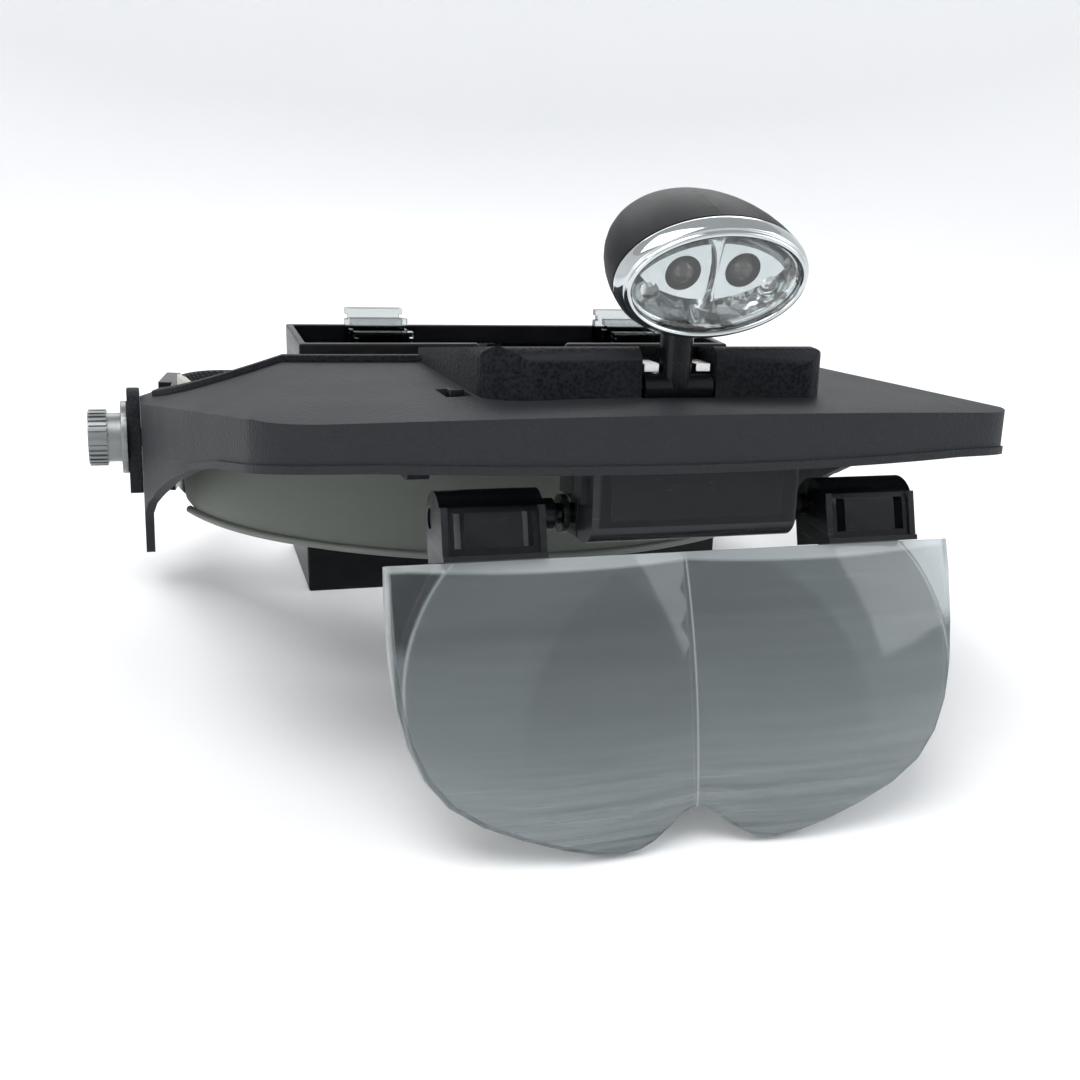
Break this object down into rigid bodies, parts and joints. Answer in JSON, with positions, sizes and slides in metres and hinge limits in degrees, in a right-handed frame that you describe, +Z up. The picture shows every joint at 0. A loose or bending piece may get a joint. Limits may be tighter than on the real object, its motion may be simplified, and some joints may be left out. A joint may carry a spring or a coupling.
{
  "type": "head visor magnifier",
  "caption": "Head-worn visor with a flip-down binocular lens plate, a swivelling battery lamp, friction temple hinges, padded brow band and a rear case of spare lens plates",
  "frame": {"origin": "on the table under the middle of the whole object's length and width", "axes": "+X across the head to the wearer's left, +Y from the lens plate back to the rear case, +Z up from the table"},
  "size_m": [0.2126, 0.199, 0.1137],
  "materials": {
    "grained_black_plastic": "fine grained moulding, matt",
    "smooth_black_plastic": "smooth moulding, satin to gloss",
    "pod_black": "fine textured satin black",
    "bright_chrome": "polished plating",
    "clear_acrylic": "clear moulded acrylic, polished",
    "led_resin": "clear resin dome over a yellow phosphor chip",
    "board_green": "solder mask over fibreglass",
    "turned_steel": "zinc plated, turned and knurled",
    "contact_steel": "nickel plated spring strip",
    "cell_wrap": "printed shrink wrap, left plain",
    "brow_leatherette": "smooth grey-green padded leatherette",
    "sweat_foam": "cream knitted cover over foam",
    "black_webbing": "woven elastic webbing"
  },
  "bodies": {
    "head_ring": {"band_core": "smooth_black_plastic", "brow_pad": "brow_leatherette", "sweat_pad": "sweat_foam", "pivot_bolt_left": "turned_steel", "pivot_bolt_right": "turned_steel", "spacer_left": "smooth_black_plastic", "spacer_right": "smooth_black_plastic", "washer_left": "turned_steel", "washer_right": "turned_steel", "band_buckle_left": "smooth_black_plastic", "band_buckle_right": "smooth_black_plastic", "strap_left": "black_webbing", "strap_right": "black_webbing"},
    "visor": {"visor_shell": "grained_black_plastic", "rear_curb": "grained_black_plastic", "temple_plate_left": "grained_black_plastic", "temple_plate_right": "grained_black_plastic", "battery_housing": "grained_black_plastic", "battery_tray": "smooth_black_plastic", "cell_front": "cell_wrap", "cell_rear": "cell_wrap", "cell_spring_front": "contact_steel", "cell_spring_rear": "contact_steel", "cell_plate_front": "contact_steel", "cell_plate_rear": "contact_steel", "lid_pin": "turned_steel", "lamp_leaf_left": "contact_steel", "lamp_leaf_right": "contact_steel", "hanger_block": "smooth_black_plastic", "hanger_screw_left": "turned_steel", "hanger_screw_right": "turned_steel", "stop_block_left": "smooth_black_plastic", "stop_block_right": "smooth_black_plastic"},
    "battery_lid": {"battery_lid": "grained_black_plastic"},
    "switch": {"switch_knob": "smooth_black_plastic"},
    "lamp_arm": {"lamp_drum": "smooth_black_plastic", "lamp_stem": "smooth_black_plastic"},
    "lamp_pod": {"pod_shell_left": "pod_black", "pod_shell_right": "pod_black", "pod_collar": "smooth_black_plastic", "pod_bezel": "bright_chrome", "pod_window": "clear_acrylic", "pod_reflector": "bright_chrome", "led_board": "board_green", "led_left": "led_resin", "led_right": "led_resin"},
    "lens_carrier": {"carrier_shaft": "smooth_black_plastic", "clip_left": "smooth_black_plastic", "clip_right": "smooth_black_plastic"},
    "lens_plate": {"lens_plate": "clear_acrylic"},
    "nut_left": {"thumb_nut_left": "turned_steel"},
    "nut_right": {"thumb_nut_right": "turned_steel"},
    "rear_case": {"case_shell": "smooth_black_plastic", "case_guide_left": "smooth_black_plastic", "case_guide_right": "smooth_black_plastic", "case_strap": "black_webbing"},
    "spare_front": {"spare_plate_front": "clear_acrylic"},
    "spare_middle": {"spare_plate_middle": "clear_acrylic"},
    "spare_rear": {"spare_plate_rear": "clear_acrylic"}
  },
  "joints": [
    {"name": "visor_tilt", "type": "hinge", "parent": "head_ring", "child": "visor", "pos_m": [0, 0.0527, 0.0403], "axis": [-1, 0, 0], "range_deg": [0, 55]},
    {"name": "lens_flip", "type": "hinge", "parent": "visor", "child": "lens_carrier", "pos_m": [0, -0.07284, 0.05677], "axis": [-1, 0, 0], "range_deg": [-74, 20]},
    {"name": "lens_release", "type": "slide", "parent": "lens_carrier", "child": "lens_plate", "axis": [0, -0.3466, -0.938], "range_m": [0, 0.012]},
    {"name": "lamp_tilt", "type": "hinge", "parent": "visor", "child": "lamp_arm", "pos_m": [0.0026, -0.06307, 0.07768], "axis": [1, 0, 0], "range_deg": [-25, 40]},
    {"name": "lamp_swivel", "type": "hinge", "parent": "lamp_arm", "child": "lamp_pod", "pos_m": [0.0026, -0.06219, 0.08965], "axis": [0, 0.0732, 0.9973], "range_deg": [-50, 50]},
    {"name": "lid_hinge", "type": "hinge", "parent": "visor", "child": "battery_lid", "pos_m": [0, -0.0243, 0.07588], "axis": [-1, 0, 0], "range_deg": [0, 88]},
    {"name": "switch_slide", "type": "slide", "parent": "visor", "child": "switch", "axis": [0, 0.9973, -0.0732], "range_m": [0, 0.003]},
    {"name": "nut_left_turn", "type": "hinge", "parent": "head_ring", "child": "nut_left", "pos_m": [-0.1025, 0.0527, 0.0403], "axis": [-1, 0, 0], "range_deg": [0, 360]},
    {"name": "nut_right_turn", "type": "hinge", "parent": "head_ring", "child": "nut_right", "pos_m": [0.1025, 0.0527, 0.0403], "axis": [1, 0, 0], "range_deg": [0, 360]},
    {"name": "strap_stretch", "type": "slide", "parent": "head_ring", "child": "rear_case", "axis": [0, 1, 0], "range_m": [0, 0.08], "deforming": ["strap_left", "strap_right"]},
    {"name": "spare_front_lift", "type": "slide", "parent": "rear_case", "child": "spare_front", "axis": [0, 0, 1], "range_m": [0, 0.062]},
    {"name": "spare_middle_lift", "type": "slide", "parent": "rear_case", "child": "spare_middle", "axis": [0, 0, 1], "range_m": [0, 0.062]},
    {"name": "spare_rear_lift", "type": "slide", "parent": "rear_case", "child": "spare_rear", "axis": [0, 0, 1], "range_m": [0, 0.062]}
  ]
}
